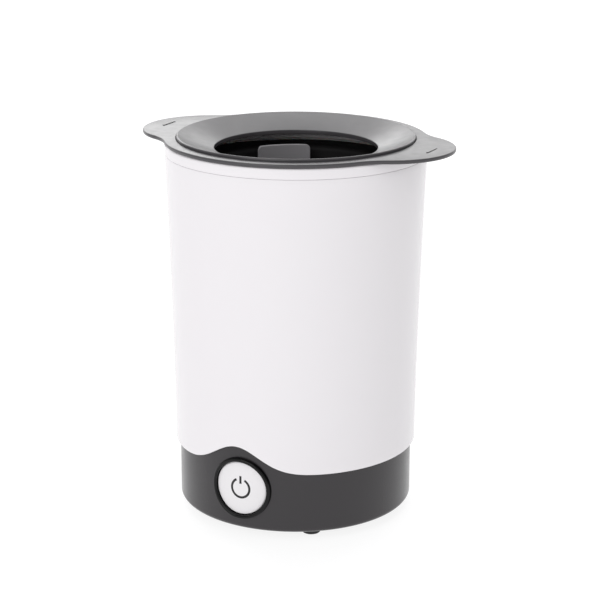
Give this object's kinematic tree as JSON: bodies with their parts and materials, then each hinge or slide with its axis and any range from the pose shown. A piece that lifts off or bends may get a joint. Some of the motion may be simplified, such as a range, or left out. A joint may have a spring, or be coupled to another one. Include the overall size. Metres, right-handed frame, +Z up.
{
  "type": "bottle warmer",
  "caption": "Round bottle warmer with a white housing, a dark base with a push button, a grey collar with two ears, and a water chamber that holds a lift-out basket.",
  "frame": {"origin": "centre of the bottom of the whole object, on the table under the housing's axis", "axes": "+Z up along the housing's axis, -Y towards the push button, X along the collar's two ears"},
  "size_m": [0.1542, 0.122, 0.1794],
  "materials": {
    "white_shell": "smooth gloss moulding",
    "dark_base": "satin moulding",
    "dark_cover": "fine matt moulding",
    "grey_collar": "satin moulding",
    "grey_basket": "satin moulding",
    "black_chamber": "satin moulding",
    "gloss_black": "polished moulding",
    "black_plastic": "matt moulding",
    "foot_rubber": "moulded rubber",
    "silicone": "translucent silicone rubber",
    "steel": "stainless",
    "screw_steel": "zinc plated",
    "brass": "nickel plated brass",
    "board_green": "solder resist",
    "relay_blue": "moulded case",
    "coil_tape": "ferrite and tape",
    "capacitor_box": "moulded case",
    "capacitor_can": "sleeved can",
    "terminal_green": "moulded case",
    "phenolic": "moulded case",
    "ceramic_fuse": "ceramic body",
    "led_lens": "clear resin",
    "mains_wire": "PVC insulation",
    "heater_wire": "silicone insulation",
    "thin_wire": "PVC insulation"
  },
  "bodies": {
    "housing": {"outer_housing": "white_shell", "rim_ring": "white_shell", "base_housing": "dark_base", "base_cover": "dark_cover", "foot_1": "foot_rubber", "foot_2": "foot_rubber", "foot_3": "foot_rubber", "foot_4": "foot_rubber", "cover_screws": "screw_steel", "housing_screws": "screw_steel", "heating_chamber": "black_chamber", "chamber_gasket": "silicone", "plate_gasket": "silicone", "heating_plate": "steel", "plate_clamp": "steel", "clamp_screws": "screw_steel", "heating_element": "steel", "thermostat": "phenolic", "thermal_fuse": "ceramic_fuse", "temperature_sensor": "black_plastic", "control_board": "board_green", "board_screws": "screw_steel", "relay": "relay_blue", "transformer": "coil_tape", "film_capacitor": "capacitor_box", "smoothing_capacitor": "capacitor_can", "terminal_block": "terminal_green", "power_inlet": "black_plastic", "inlet_pins": "brass", "inlet_screws": "screw_steel", "button_bezel": "gloss_black", "button_spring": "steel", "switch_board": "board_green", "tact_switch": "black_plastic", "indicator_led": "led_lens", "switch_screws": "screw_steel", "mains_leads": "mains_wire", "heater_leads": "heater_wire", "cutout_leads": "thin_wire", "sensor_lead": "thin_wire", "switch_leads": "thin_wire"},
    "button": {"power_button": "white_shell", "power_symbol": "dark_cover"},
    "collar": {"lift_collar": "grey_collar", "funnel_insert": "grey_collar"},
    "basket": {"bottle_basket": "grey_basket"}
  },
  "joints": [
    {"name": "button_press", "type": "slide", "parent": "housing", "child": "button", "axis": [0, 1, 0], "range_m": [0, 0.0016], "stiffness_N_per_m": 600, "springref_m": -0.0008, "deforming": ["button_spring"]},
    {"name": "collar_lift", "type": "slide", "parent": "housing", "child": "collar", "axis": [0, 0, 1], "range_m": [0, 0.04]},
    {"name": "basket_lift", "type": "slide", "parent": "housing", "child": "basket", "axis": [0, 0, 1], "range_m": [0, 0.136]}
  ]
}
